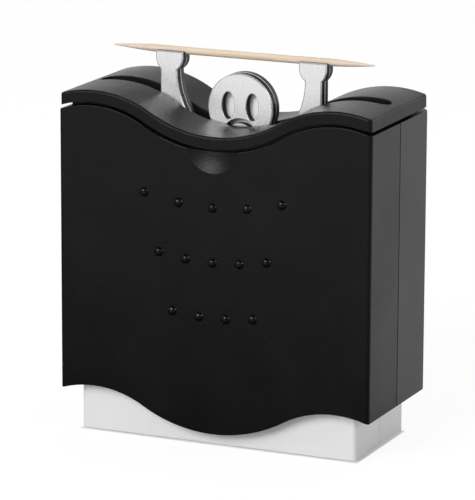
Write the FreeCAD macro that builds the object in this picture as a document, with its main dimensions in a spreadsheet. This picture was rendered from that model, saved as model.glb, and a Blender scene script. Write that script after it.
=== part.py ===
import FreeCAD, Part
import math
import os
import Sketcher

# Toothpick dispenser. A black case with a wave-shaped lid slides up and down over a silver base.
# A flat figure stands on the base and reaches through the slot in the lid. With the case up, its hands
# lie at the bottom of the hopper's trough and a toothpick rolls onto them; as the case goes down again, the
# hands carry the toothpick up through the slot.
#
# Frame: millimetres, +X to the right along the width, -Y towards the front face, +Z up.
# The origin is the centre of the footprint, at the height of the surface the dispenser stands on.
# Every piece is modelled in place, with the case down.

# ---------------------------------------------------------------- driving dimensions
# name, size in mm (or degrees), what it is
DIMENSIONS = [
    # case
    ("case_depth", 35.0, "overall depth of the case"),
    ("case_wall", 2.2, "wall of the case halves"),
    ("case_corner", 1.0, "round on the upright corners of the case and the lid"),
    ("edge_round", 0.2, "round on the outer edges at the open ends of the shells"),
    ("seam_chamfer", 0.2, "chamfer along the seam of two shell halves"),
    ("tongue_reach", 1.2, "how far the front half's tongue enters the back half"),
    ("tongue_margin", 5.0, "height left free above and below the tongue"),
    ("slip", 0.1, "clearance round parts that are pushed together"),
    # wave of the lid and of the case's upper rim
    ("wave_crest_inset", 8.5, "distance of a crest from the end of the case"),
    ("wave_height", 8.45, "height of the crests above the valley of the lid"),
    ("wave_valley_radius", 31.0, "radius of the valley on the top of the lid"),
    # wave of the case's lower edge
    ("skirt_height", 8.2, "height of the crests above the valley of the lower edge"),
    ("skirt_radius", 35.5, "radius of the lower edge's valley"),
    ("skirt_valley_z", 3.35, "lower edge's valley above the table"),
    # lid
    ("lid_thickness", 2.75, "thickness of the lid plate"),
    ("lid_gap", 0.75, "shadow gap between the lid and the case"),
    ("lid_inset", 0.2, "lid's outline inside the case's outline"),
    ("lid_round", 0.6, "round on the lid's upper outline"),
    ("slot_margin", 2.3, "ends of the slot from the ends of the lid"),
    ("slot_play", 0.4, "slot beside the figure"),
    ("slot_round", 0.25, "round on the slot's upper edge"),
    ("tongue_depth", 2.0, "reach of the lid's locating strips into the hopper"),
    ("tongue_thickness", 1.2, "thickness of the locating strips"),
    ("tongue_clearance", 0.25, "play of the locating strips in the hopper"),
    ("seat_gap", 0.1, "film of air where the lid rests on the hopper"),
    # thumb notch and raised dots on the front
    ("notch_radius", 6.4, "radius of the thumb notch on the front face"),
    ("notch_depth", 1.4, "depth of the thumb notch"),
    ("notch_rise", 1.5, "middle of the notch above the rim's valley"),
    ("dot_diameter", 2.35, "raised dot, across"),
    ("dot_height", 0.75, "raised dot, height"),
    ("dot_row_radius", 65.0, "radius of the shallow curve that each row of dots follows"),
    ("top_row_drop", 12.9, "middle of the top row of dots below the rim's valley"),
    ("middle_row_drop", 25.8, "middle of the second row of dots below the rim's valley"),
    ("low_row_drop", 38.85, "middle of the third row of dots below the rim's valley"),
    ("top_row_pitch", 8.6, "dots of the top row, from one to the next"),
    ("lower_row_pitch", 6.75, "dots of the two lower rows, from one to the next"),
    # hopper
    ("hopper_wall", 1.2, "upright walls of the hopper"),
    ("hopper_clearance", 0.15, "hopper inside the case"),
    ("hopper_floor", 2.0, "thickness under the trough, measured upright"),
    ("strip_gap", 0.41, "locating strips of the lid above the top of the ramps"),
    ("slit_clearance", 0.3, "figure in the hopper's slit, each side"),
    ("slit_end_clearance", 0.6, "figure in the hopper's slit, each end"),
    ("socket_depth", 2.5, "depth of the sockets for the guide tubes"),
    ("socket_wall", 0.7, "wall of the sockets for the guide tubes"),
    # toothpick
    ("pick_length", 65.5, "toothpick, point to point"),
    ("pick_diameter", 1.8, "toothpick's shaft"),
    ("pick_taper", 10.0, "length of a point"),
    ("pick_tip", 0.4, "diameter at the very tip"),
    ("pick_gap", 0.05, "film of air under a lying toothpick"),
    ("heap_gap", 0.1, "film of air between toothpicks of the stock"),
    ("heap_clearance", 0.35, "stock beside the figure"),
    ("heap_shift", 0.7, "how far toothpicks of the stock lie off the middle, lengthwise"),
    ("pick_end_gap", 2.0, "space beyond the ends of the stock"),
    ("lift_shift", -0.35, "where the lifted toothpick lies on the hands, off the middle"),
    # figure
    ("plate_thickness", 2.1, "one of the two plates of the figure"),
    ("catch_gap", 0.1, "toothpick in the hands above the trough's floor, with the case up"),
    ("figure_side_gap", 2.7, "arms beside the guide tubes"),
    ("arm_width", 4.2, "wrist, across"),
    ("hand_flare_in", 1.5, "hand beyond the wrist, on its inner side"),
    ("hand_flare_out", 1.2, "hand beyond the wrist, on its outer side"),
    ("hand_side", 1.7, "upright part of a hand's side"),
    ("hand_height", 4.4, "hand, from its top to the wrist"),
    ("arm_radius", 19.0, "radius of the arm's inner edge"),
    ("groove_width", 2.2, "groove across the top of the hands"),
    ("groove_depth", 1.6, "depth of that groove"),
    ("head_radius", 8.2, "head disc"),
    ("head_drop", 12.1, "middle of the head below the top of the hands"),
    ("eye_x", 3.05, "eye's distance from the middle"),
    ("eye_width", 3.1, "eye, across"),
    ("eye_height", 6.4, "eye, upright"),
    ("eye_drop", 11.6, "middle of the eyes below the top of the hands"),
    ("mouth_drop", 18.95, "middle of the mouth's arch below the top of the hands"),
    ("mouth_radius", 3.4, "lower edge of the mouth's arch"),
    ("mouth_band", 1.1, "width of the mouth's opening"),
    ("mouth_half_angle", 52.0, "half of the mouth's arch, in degrees"),
    ("neck_width", 8.0, "neck between the arms and the head"),
    ("foot_inset", 5.15, "foot in from the outer side of an arm"),
    ("foot_rise", 20.0, "top of the foot above its lower end"),
    ("plate_edge", 0.3, "chamfer round the outer face of a plate"),
    ("plate_seam", 0.15, "chamfer where the two plates meet"),
    ("face_edge", 0.15, "chamfer on the edges of eyes and mouth"),
    # base
    ("base_gap_x", 1.975, "base inside the case, at each end"),
    ("base_gap_y", 0.7, "base inside the case, front and back"),
    ("base_wall", 1.8, "wall of the base halves"),
    ("base_corner", 1.0, "round on the upright corners of the base"),
    ("base_overlap", 4.8, "base left inside the case at the top of the stroke"),
    ("base_lift", 0.3, "base shells above the table"),
    ("floor_recess", 0.1, "bottom plate above the shells' lower edge"),
    ("floor_thickness", 2.2, "bottom plate"),
    ("block_width", 6.2, "screw block in a corner of the base, along X"),
    ("block_depth", 5.6, "screw block in a corner of the base, along Y"),
    ("block_height", 7.0, "height of a screw block"),
    ("pad_spacing", 9.925, "middle of a foot from the floor screw beside it, along X"),
    ("pad_edge", 3.7, "middle of a foot from the edge of the bottom plate, along Y"),
    ("pad_diameter", 7.0, "foot pad"),
    ("pad_thickness", 1.0, "foot pad"),
    # weight and figure mount
    ("ballast_gap", 1.5, "steel weight beside the bosses"),
    ("ballast_edge", 0.7, "steel weight from the edge of the bottom plate, along Y"),
    ("ballast_thickness", 4.5, "steel weight"),
    ("mount_end", 5.5, "figure mount beyond the foot, at each end"),
    ("mount_depth", 10.0, "figure mount along Y"),
    ("mount_height", 14.0, "figure mount"),
    ("mount_floor", 3.0, "figure mount under the figure's foot"),
    ("pin_x", 9.0, "cross pins from the middle"),
    ("pin_height", 5.5, "cross pins above the foot's lower end"),
    ("pin_diameter", 3.0, "cross pins"),
    ("pin_recess", 0.2, "ends of the cross pins below the mount's faces"),
    # guides and stops
    ("stroke", 33.9, "travel of the case"),
    ("post_inset", 5.525, "guide posts from the inner faces of the base's ends"),
    ("post_diameter", 4.0, "guide posts"),
    ("boss_height", 7.1, "bosses of the bottom plate round the posts"),
    ("boss_wall", 2.0, "wall of those bosses"),
    ("buffer_thickness", 1.0, "soft rings under the guide tubes"),
    ("rest_gap", 0.05, "film of air between a buffer and its guide tube"),
    ("bush_length", 5.0, "guide bushes"),
    ("bush_clearance", 0.05, "post in its bush, radial"),
    ("tube_diameter", 9.0, "guide tubes, outside"),
    ("tube_wall", 0.8, "guide tubes"),
    ("stop_gap", 0.05, "film of air between bush and stop washer at the top of the stroke"),
    ("washer_gap", 0.4, "stop washers inside the guide tubes, radial"),
    ("washer_thickness", 0.6, "stop washers"),
    ("stop_head_diameter", 4.6, "heads of the stop screws"),
    ("stop_head_height", 1.8, "heads of the stop screws"),
    ("stop_shank_diameter", 2.4, "stop screws in the posts"),
    ("stop_shank_length", 7.0, "stop screws in the posts"),
    ("head_gap", 0.6, "stop screws' heads below the hopper"),
    # self-tapping screws
    ("floor_head_diameter", 4.0, "floor screws' heads"),
    ("floor_head_height", 1.3, "floor screws' heads"),
    ("floor_shank_diameter", 2.2, "floor screws"),
    ("floor_shank_length", 6.5, "floor screws under the head"),
    ("mount_head_diameter", 5.2, "mount screws' heads"),
    ("mount_head_height", 1.4, "mount screws' heads"),
    ("mount_shank_diameter", 2.9, "mount screws"),
    ("mount_shank_length", 13.5, "mount screws under the head"),
    ("mount_screw_inset", 2.7, "mount screws from the ends of the figure mount"),
    ("case_head_diameter", 4.0, "case screws' heads"),
    ("case_head_height", 1.3, "case screws' heads"),
    ("case_shank_diameter", 2.2, "case screws"),
    ("case_shank_length", 7.0, "case screws under the head"),
    ("ear_offset", 3.5, "case screws inward of the guide posts, along X"),
    ("ear_edge", 4.0, "case screws from the inner face of the case, along Y"),
    ("screw_clearance", 0.25, "screws and heads in clearance holes, radial"),
    ("thread_run_out", 0.5, "threaded holes beyond the ends of their screws"),
    ("thread_clearance", 0.02, "screws in their threaded holes, radial"),
    ("recess_depth", 0.7, "driver slot in a screw's head"),
    ("recess_width", 0.6, "driver slot in a screw's head"),
    ("ear_width", 6.0, "screw ears of the hopper and shelves of the case, along X"),
    ("ear_depth", 5.5, "screw ears of the hopper, along Y"),
    ("shelf_thickness", 2.0, "shelves of the case"),
    ("shelf_gap", 2.4, "shelves above the base"),
]

# name, formula over the names above
DERIVED = [
    # half sizes and inner faces
    ("space_x", "pick_length / 2 + heap_shift + pick_end_gap"),
    ("hopper_x", "space_x + hopper_wall"),
    ("case_inner_x", "hopper_x + hopper_clearance"),
    ("case_x", "case_inner_x + case_wall"),
    ("case_y", "case_depth / 2"),
    ("case_inner_y", "case_y - case_wall"),
    ("hopper_y", "case_inner_y - hopper_clearance"),
    ("space_y", "hopper_y - hopper_wall"),
    ("base_x", "case_inner_x - base_gap_x"),
    ("base_y", "case_inner_y - base_gap_y"),
    ("base_inner_x", "base_x - base_wall"),
    ("base_inner_y", "base_y - base_wall"),
    ("case_tongue_x", "case_inner_x + case_wall / 2"),
    ("base_tongue_x", "base_inner_x + base_wall / 2"),
    ("floor_x", "base_inner_x - slip"),
    ("floor_y", "base_inner_y - slip"),
    ("case_rebate_x", "case_tongue_x + slip"),
    ("base_rebate_x", "base_tongue_x + slip"),
    ("rebate_y", "tongue_reach + slip"),
    ("case_wall_y", "case_inner_y + case_wall / 2"),
    ("base_wall_x", "base_inner_x + base_wall / 2"),
    ("base_wall_y", "base_inner_y + base_wall / 2"),
    # stack of heights, from the table up to the trough and the lid
    ("floor_under", "base_lift + floor_recess"),
    ("floor_top", "floor_under + floor_thickness"),
    ("boss_top", "floor_top + boss_height"),
    ("buffer_top", "boss_top + buffer_thickness"),
    ("tube_bottom", "buffer_top + rest_gap"),
    ("bush_top", "tube_bottom + bush_length"),
    ("post_top", "bush_top + stroke + stop_gap"),
    ("washer_top", "post_top + washer_thickness"),
    ("stop_top", "washer_top + stop_head_height"),
    ("hopper_under", "stop_top + head_gap"),
    ("trough_z", "hopper_under + hopper_floor"),
    ("trough_y", "pick_diameter / 2 * tan(22.5)"),
    ("ramp_top", "trough_z + space_y - trough_y"),
    ("lid_valley_z", "ramp_top + strip_gap + tongue_depth + lid_thickness"),
    ("groove_slant", "sqrt((groove_width / 2)^2 + groove_depth^2)"),
    ("pick_rise", "(pick_diameter / 2 + pick_gap) * groove_slant / (groove_width / 2) - groove_depth"),
    ("figure_top", "trough_z + stroke + catch_gap + pick_diameter / 2 - pick_rise"),
    ("skirt_crest_z", "skirt_valley_z + skirt_height"),
    ("base_top", "skirt_crest_z + stroke + base_overlap"),
    ("base_height", "base_top - base_lift"),
    ("post_length", "post_top - floor_top"),
    ("tube_length", "hopper_under - tube_bottom"),
    # waves: centres of the arcs, then the radii at each level
    ("wave_crest_x", "case_x - wave_crest_inset"),
    ("wave_crest_radius", "(wave_crest_x^2 + wave_height^2) / (2 * wave_height) - wave_valley_radius"),
    ("wave_valley_centre", "lid_valley_z + wave_valley_radius"),
    ("wave_crest_centre", "lid_valley_z + wave_height - wave_crest_radius"),
    ("skirt_crest_radius", "(wave_crest_x^2 + skirt_height^2) / (2 * skirt_height) - skirt_radius"),
    ("skirt_valley_radius", "skirt_radius"),
    ("skirt_valley_centre", "skirt_valley_z + skirt_radius"),
    ("skirt_crest_centre", "skirt_crest_z - skirt_crest_radius"),
    ("lid_valley_radius", "wave_valley_radius"),
    ("lid_crest_radius", "wave_crest_radius"),
    ("under_valley_radius", "wave_valley_radius + lid_thickness"),
    ("under_crest_radius", "wave_crest_radius - lid_thickness"),
    ("root_valley_radius", "wave_valley_radius + lid_thickness / 2"),
    ("root_crest_radius", "wave_crest_radius - lid_thickness / 2"),
    ("strip_valley_radius", "under_valley_radius + tongue_depth"),
    ("strip_crest_radius", "under_crest_radius - tongue_depth"),
    ("neck_valley_radius", "under_valley_radius + seat_gap"),
    ("neck_crest_radius", "under_crest_radius - seat_gap"),
    ("rim_valley_radius", "under_valley_radius + lid_gap"),
    ("rim_crest_radius", "under_crest_radius - lid_gap"),
    ("rim_valley_z", "lid_valley_z - lid_thickness - lid_gap"),
    ("skirt_side_z", "skirt_crest_centre + sqrt(skirt_crest_radius^2 - (case_x - wave_crest_x)^2)"),
    ("rim_side_z", "wave_crest_centre + sqrt(rim_crest_radius^2 - (case_x - wave_crest_x)^2)"),
    ("case_tongue_low", "skirt_side_z + tongue_margin"),
    ("case_tongue_height", "rim_side_z - tongue_margin - case_tongue_low"),
    ("base_tongue_low", "base_lift + tongue_margin"),
    ("base_tongue_height", "base_top - tongue_margin - base_tongue_low"),
    # dots and notch, as balls that stand out of the front face or bite into it
    ("dot_ball_r", "((dot_diameter / 2)^2 + dot_height^2) / (2 * dot_height)"),
    ("dot_ball_out", "case_y - dot_ball_r + dot_height"),
    ("notch_ball_r", "(notch_radius^2 + notch_depth^2) / (2 * notch_depth)"),
    ("notch_ball_out", "case_y + notch_ball_r - notch_depth"),
    ("notch_z", "rim_valley_z + notch_rise"),
    # lid
    ("lid_x", "case_x - lid_inset"),
    ("lid_y", "case_y - lid_inset"),
    ("lid_depth", "2 * lid_y"),
    ("slot_y", "plate_thickness + slot_play"),
    ("slot_centre_x", "lid_x - slot_margin - slot_y"),
    # hopper
    ("hopper_depth", "2 * hopper_y"),
    ("space_length", "2 * space_x"),
    ("space_top", "lid_valley_z + wave_height"),
    ("cut_y", "case_y"),
    ("cut_top", "hopper_under + cut_y - trough_y"),
    ("cut_bottom", "hopper_under - socket_depth"),
    ("post_x", "base_inner_x - post_inset"),
    ("tube_r", "tube_diameter / 2"),
    ("wrist_outer_x", "post_x - tube_r - figure_side_gap"),
    ("wrist_inner_x", "wrist_outer_x - arm_width"),
    ("hand_outer_x", "wrist_outer_x + hand_flare_out"),
    ("hand_inner_x", "wrist_inner_x - hand_flare_in"),
    ("slit_x", "hand_outer_x + slit_end_clearance"),
    ("slit_y", "plate_thickness + slit_clearance"),
    ("strip_x", "space_x - tongue_clearance"),
    ("strip_y", "space_y - tongue_clearance"),
    ("strip_inner_y", "strip_y - tongue_thickness"),
    # guides
    ("post_r", "post_diameter / 2"),
    ("tube_bore_r", "tube_r - tube_wall"),
    ("bush_bore_r", "post_r + bush_clearance"),
    ("socket_r", "tube_r + thread_clearance"),
    ("bush_r", "tube_bore_r - thread_clearance"),
    ("post_hole_r", "post_r + thread_clearance"),
    ("socket_outer_r", "tube_r + socket_wall"),
    ("socket_block", "ramp_top - cut_bottom"),
    ("boss_r", "post_r + boss_wall"),
    ("buffer_bore_r", "post_r + screw_clearance"),
    ("washer_r", "tube_bore_r - washer_gap"),
    # figure
    ("hand_side_z", "figure_top - hand_side"),
    ("wrist_z", "figure_top - hand_height"),
    ("arm_centre_x", "wrist_inner_x - arm_radius"),
    ("arm_low_z", "wrist_z - sqrt(arm_radius^2 - arm_centre_x^2)"),
    ("head_z", "figure_top - head_drop"),
    ("eye_z", "figure_top - eye_drop"),
    ("mouth_z", "figure_top - mouth_drop"),
    ("mouth_outer_radius", "mouth_radius + mouth_band"),
    ("mouth_inner_x", "mouth_radius * sin(mouth_half_angle)"),
    ("mouth_outer_x", "mouth_outer_radius * sin(mouth_half_angle)"),
    ("neck_x", "neck_width / 2"),
    ("neck_low_z", "arm_low_z - arm_radius / 4"),
    ("groove_y", "groove_width / 2"),
    ("groove_z", "figure_top - groove_depth"),
    ("foot_x", "wrist_outer_x - foot_inset"),
    # weight, mount and foot of the figure
    ("ballast_top", "floor_top + ballast_thickness"),
    ("ballast_x", "post_x - boss_r - ballast_gap"),
    ("ballast_y", "floor_y - ballast_edge"),
    ("mount_x", "foot_x + mount_end"),
    ("mount_y", "mount_depth / 2"),
    ("mount_screw_x", "mount_x - mount_screw_inset"),
    ("foot_z", "ballast_top + mount_floor"),
    ("foot_top_z", "foot_z + foot_rise"),
    ("body_low_z", "foot_top_z + wrist_outer_x - foot_x"),
    ("mount_slot_x", "foot_x + slip"),
    ("mount_slot_y", "plate_thickness + slip / 2"),
    ("mount_top", "ballast_top + mount_height"),
    ("pin_z", "foot_z + pin_height"),
    ("pin_r", "pin_diameter / 2"),
    ("pin_hole_r", "pin_r + thread_clearance"),
    ("pin_y", "mount_y - pin_recess"),
    ("pin_length", "2 * pin_y"),
    ("mount_slot_depth", "mount_height - mount_floor"),
    # base
    ("block_x", "base_inner_x - block_width"),
    ("block_y", "base_inner_y - block_depth"),
    ("floor_screw_x", "base_inner_x - block_width / 2"),
    ("floor_screw_y", "base_inner_y - block_depth / 2"),
    ("pad_x", "floor_screw_x - pad_spacing"),
    ("pad_y", "floor_y - pad_edge"),
    ("pad_r", "pad_diameter / 2"),
    ("pad_hole_r", "pad_r + slip"),
    ("pad_recess", "pad_thickness - floor_under"),
    # shelves of the case and ears of the hopper
    ("case_screw_x", "post_x - ear_offset"),
    ("case_screw_y", "case_inner_y - ear_edge"),
    ("shelf_under", "base_top + shelf_gap"),
    ("shelf_top", "shelf_under + shelf_thickness"),
    ("ear_x0", "case_screw_x - ear_width / 2"),
    ("ear_x1", "case_screw_x + ear_width / 2"),
    ("ear_y0", "case_screw_y - ear_depth / 2"),
    ("ear_y1", "case_screw_y + ear_depth / 2"),
    ("ear_height", "ramp_top - shelf_top"),
    # seats, holes and threads of the screws
    ("floor_seat", "floor_under + floor_head_height + slip"),
    ("mount_seat", "floor_under + mount_head_height + slip"),
    ("floor_bore_depth", "floor_seat - floor_under"),
    ("mount_bore_depth", "mount_seat - floor_under"),
    ("floor_thread_depth", "floor_seat + floor_shank_length + thread_run_out - floor_top"),
    ("mount_thread_depth", "mount_seat + mount_shank_length + thread_run_out - ballast_top"),
    ("stop_thread_depth", "stop_shank_length - washer_thickness + thread_run_out"),
    ("case_thread_depth", "case_shank_length - shelf_thickness + thread_run_out"),
    ("floor_head_z", "floor_seat - floor_head_height"),
    ("mount_head_z", "mount_seat - mount_head_height"),
    ("case_head_z", "shelf_under - case_head_height"),
    # toothpick on the hands and stock in the trough
    ("pick_r", "pick_diameter / 2"),
    ("pick_tip_r", "pick_tip / 2"),
    ("pick_shaft", "pick_length - 2 * pick_taper"),
    ("pick_z", "figure_top + pick_rise"),
    ("heap_pitch", "pick_diameter + heap_gap"),
    ("heap_rise", "heap_pitch * sin(60)"),
    ("heap_y", "plate_thickness + heap_clearance + pick_r"),
    ("heap_z", "trough_z + heap_y - trough_y + (pick_r + pick_gap) * sqrt(2)"),
]

# family of screws, its place along X and along Y (None on the middle line)
SCREWS = [
    ("stop", "post_x", None),
    ("floor", "floor_screw_x", "floor_screw_y"),
    ("mount", "mount_screw_x", None),
    ("case", "case_screw_x", "case_screw_y"),
]
for family, screw_x, screw_y in SCREWS:
    DERIVED += [
        (family + "_head_r", family + "_head_diameter / 2"),
        (family + "_shank_r", family + "_shank_diameter / 2"),
        (family + "_hole_r", family + "_shank_r + screw_clearance"),
        (family + "_thread_r", family + "_shank_r + thread_clearance"),
        (family + "_bore_r", family + "_head_r + screw_clearance"),
        (family + "_slot_x0", screw_x + " - " + family + "_head_r"),
        (family + "_slot_x1", screw_x + " + " + family + "_head_r"),
        (family + "_slot_y0", (screw_y or "0") + " - recess_width / 2"),
        (family + "_slot_y1", (screw_y or "0") + " + recess_width / 2"),
    ]

# rows of raised dots: how many, their pitch, how far below the rim's valley
DOT_ROWS = [
    (5, "top_row_pitch", "top_row_drop"),
    (5, "lower_row_pitch", "middle_row_drop"),
    (4, "lower_row_pitch", "low_row_drop"),
]
HEAP_ROWS = 4
SIDES = ((-1, "left"), (1, "right"))


# ---------------------------------------------------------------- document and size sheet
os.makedirs("parts", exist_ok=True)
doc = FreeCAD.newDocument("toothpick_dispenser")
sheet = doc.addObject("Spreadsheet::Sheet", "Sizes")

row = 0
for alias, size, meaning in DIMENSIONS:
    row += 1
    sheet.set("A%d" % row, meaning)
    sheet.set("B%d" % row, str(size))
    sheet.setAlias("B%d" % row, alias)
for alias, formula in DERIVED:
    row += 1
    sheet.set("B%d" % row, "=" + formula)
    sheet.setAlias("B%d" % row, alias)
doc.recompute()


def size(name):
    """A size of the sheet; a leading minus gives its negative."""
    if name.startswith("-"):
        return -float(sheet.get(name[1:]))
    return float(sheet.get(name))


def cell(name):
    """The same size as an expression that keeps a property bound to the sheet."""
    if name.startswith("-"):
        return "-Sizes." + name[1:]
    return "Sizes." + name


def signed(sign, name):
    return name if sign > 0 else "-" + name


# ---------------------------------------------------------------- bodies, sketches and features
def new_body(label):
    body = doc.addObject("PartDesign::Body", label)
    body.Label = label
    return body


def origin_plane(body, role):
    return [feature for feature in body.Origin.OriginFeatures if feature.Role == role][0]


class Outline:
    """A sketch on one of a body's origin planes, with its points bound to the size sheet."""

    def __init__(self, body, role, name, offset=None):
        self.body = body
        self.sketch = body.newObject("Sketcher::SketchObject", name)
        self.sketch.AttachmentSupport = (origin_plane(body, role), [""])
        self.sketch.MapMode = "FlatFace"
        if offset:
            self.sketch.setExpression(".AttachmentOffset.Base.z", cell(offset))
        self.ends = []
        self.joined = set()

    def line(self, start, end):
        segment = Part.LineSegment(FreeCAD.Vector(*start, 0), FreeCAD.Vector(*end, 0))
        number = self.sketch.addGeometry(segment, False)
        self.ends += [(number, 1, start), (number, 2, end)]
        return number

    def arc(self, centre, start, end):
        """An arc that turns anticlockwise from start to end."""
        radius = math.hypot(start[0] - centre[0], start[1] - centre[1])
        first = math.atan2(start[1] - centre[1], start[0] - centre[0])
        last = math.atan2(end[1] - centre[1], end[0] - centre[0])
        if last <= first:
            last += 2 * math.pi
        circle = Part.Circle(FreeCAD.Vector(*centre, 0), FreeCAD.Vector(0, 0, 1), radius)
        number = self.sketch.addGeometry(Part.ArcOfCircle(circle, first, last), False)
        self.ends += [(number, 1, start), (number, 2, end)]
        return number

    def limit(self, kind, *where, name):
        """A dimension that follows a cell of the sheet."""
        number = self.sketch.addConstraint(Sketcher.Constraint(kind, *where, size(name)))
        self.sketch.setExpression("Constraints[%d]" % number, cell(name))

    def point(self, geometry, vertex, x=None, y=None):
        if x:
            self.limit("DistanceX", -1, 1, geometry, vertex, name=x)
        if y:
            self.limit("DistanceY", -1, 1, geometry, vertex, name=y)

    def rule(self, kind, *where):
        self.sketch.addConstraint(Sketcher.Constraint(kind, *where))

    def smooth(self, first, first_end, second, second_end):
        """Joins two ends tangentially."""
        self.rule("Tangent", first, first_end, second, second_end)
        self.joined.add(frozenset([(first, first_end), (second, second_end)]))

    def close(self):
        """Joins every two ends that lie in one place and aren't joined yet."""
        for index, (geometry, vertex, place) in enumerate(self.ends):
            for other, other_vertex, other_place in self.ends[index + 1:]:
                pair = frozenset([(geometry, vertex), (other, other_vertex)])
                near = math.dist(place, other_place) < 1e-6
                if near and geometry != other and pair not in self.joined:
                    self.rule("Coincident", geometry, vertex, other, other_vertex)
        return self.sketch

    def rectangle(self, x0, x1, y0, y1):
        corners = [(size(x), size(y)) for x, y in ((x0, y0), (x1, y0), (x1, y1), (x0, y1))]
        lines = [self.line(corners[i], corners[(i + 1) % 4]) for i in range(4)]
        for i, kind in enumerate(("Horizontal", "Vertical", "Horizontal", "Vertical")):
            self.rule(kind, lines[i])
        self.point(lines[0], 1, x0, y0)
        self.point(lines[2], 1, x1, y1)

    def circle(self, x, y, radius):
        """A circle; no x or y puts its centre on that axis."""
        centre = FreeCAD.Vector(size(x) if x else 0, size(y) if y else 0, 0)
        shape = Part.Circle(centre, FreeCAD.Vector(0, 0, 1), size(radius))
        number = self.sketch.addGeometry(shape, False)
        self.limit("Radius", number, name=radius)
        self.point(number, 3, x, y)
        if not x and not y:
            self.rule("Coincident", number, 3, -1, 1)
        elif not x:
            self.rule("PointOnObject", number, 3, -2)
        elif not y:
            self.rule("PointOnObject", number, 3, -1)

    def polygon(self, corners):
        """Straight sides through corners that are pairs of names; None is the value zero."""
        places = [(size(x) if x else 0.0, size(y) if y else 0.0) for x, y in corners]
        for i, (x, y) in enumerate(corners):
            side = self.line(places[i], places[(i + 1) % len(places)])
            self.point(side, 1, x, y)
            if not x:
                self.rule("PointOnObject", side, 1, -2)

    def wave(self, level, family, end_x):
        """A valley between two crests: three tangent arcs from end_x to minus end_x.

        Returns the two end points with the arcs' ends that lie there."""
        crest_x, crest_z = size("wave_crest_x"), size(family + "_crest_centre")
        valley_z = size(family + "_valley_centre")
        crest_radius, valley_radius = size(level + "_crest_radius"), size(level + "_valley_radius")
        share = valley_radius / (valley_radius + crest_radius)
        joint = (crest_x * share, valley_z + (crest_z - valley_z) * share)
        across = (-joint[0], joint[1])
        rise = math.sqrt(crest_radius ** 2 - (size(end_x) - crest_x) ** 2)
        end_right = (size(end_x), crest_z + rise)
        end_left = (-size(end_x), crest_z + rise)
        right = self.arc((crest_x, crest_z), end_right, joint)
        valley = self.arc((0, valley_z), across, joint)
        left = self.arc((-crest_x, crest_z), across, end_left)
        self.rule("PointOnObject", valley, 3, -2)
        self.point(valley, 3, y=family + "_valley_centre")
        self.limit("Radius", valley, name=level + "_valley_radius")
        self.limit("Radius", right, name=level + "_crest_radius")
        self.rule("Equal", right, left)
        self.point(right, 3, x="wave_crest_x")
        self.point(left, 3, x="-wave_crest_x")
        self.smooth(valley, 2, right, 2)
        self.smooth(valley, 1, left, 1)
        return end_right, end_left

    def wave_block(self, upper, end_x, lower=None, lower_family="wave", bottom=None):
        """An outline with a wave on top and a second wave or a straight line below."""
        top_right, top_left = self.wave(upper, "wave", end_x)
        if lower:
            low_right, low_left = self.wave(lower, lower_family, end_x)
        else:
            low_right, low_left = (size(end_x), size(bottom)), (-size(end_x), size(bottom))
            base_line = self.line(low_right, low_left)
            self.rule("Horizontal", base_line)
            self.point(base_line, 1, y=bottom)
        right = self.line(top_right, low_right)
        left = self.line(top_left, low_left)
        for side, end in ((right, end_x), (left, "-" + end_x)):
            self.rule("Vertical", side)
            self.point(side, 1, x=end)


def finish_feature(feature, profile_sketch, length, backward, both_ways):
    feature.Profile = profile_sketch
    if length:
        feature.Type = "Length"
        feature.setExpression("Length", cell(length))
    else:
        feature.Type = "ThroughAll"
    feature.Reversed = backward
    feature.Midplane = both_ways
    feature.Refine = True
    return feature


def pad(outline, name, length, backward=False, both_ways=False):
    feature = outline.body.newObject("PartDesign::Pad", name)
    return finish_feature(feature, outline.close(), length, backward, both_ways)


def pocket(outline, name, length=None, backward=False, both_ways=False):
    """Cuts against the sketch's normal, or along it when it runs backward, and must remove something."""
    doc.recompute()
    before = outline.body.Shape.Volume
    feature = outline.body.newObject("PartDesign::Pocket", name)
    finish_feature(feature, outline.close(), length, backward, both_ways)
    doc.recompute()
    if not outline.body.Shape.Volume < before - 1e-6:
        raise RuntimeError(name + " cuts nothing")
    return feature


def dress(body, kind, name, amount, wanted):
    """A Fillet or Chamfer on the edges of the body's tip that the test picks."""
    doc.recompute()
    tip = body.Tip
    edges = [
        "Edge%d" % (number + 1)
        for number, edge in enumerate(tip.Shape.Edges)
        if wanted(edge)
    ]
    if not edges:
        raise RuntimeError(name + " finds no edge")
    feature = body.newObject("PartDesign::" + kind, name)
    feature.Base = (tip, edges)
    feature.setExpression("Radius" if kind == "Fillet" else "Size", cell(amount))
    return feature


def middle(edge):
    return edge.valueAt((edge.FirstParameter + edge.LastParameter) / 2)


def is_upright(edge):
    low, high = edge.BoundBox.ZMin, edge.BoundBox.ZMax
    return high - low > 1 and edge.BoundBox.XLength < 1e-6 and edge.BoundBox.YLength < 1e-6


def near(number, target):
    return abs(number - target) < 1e-4


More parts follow.
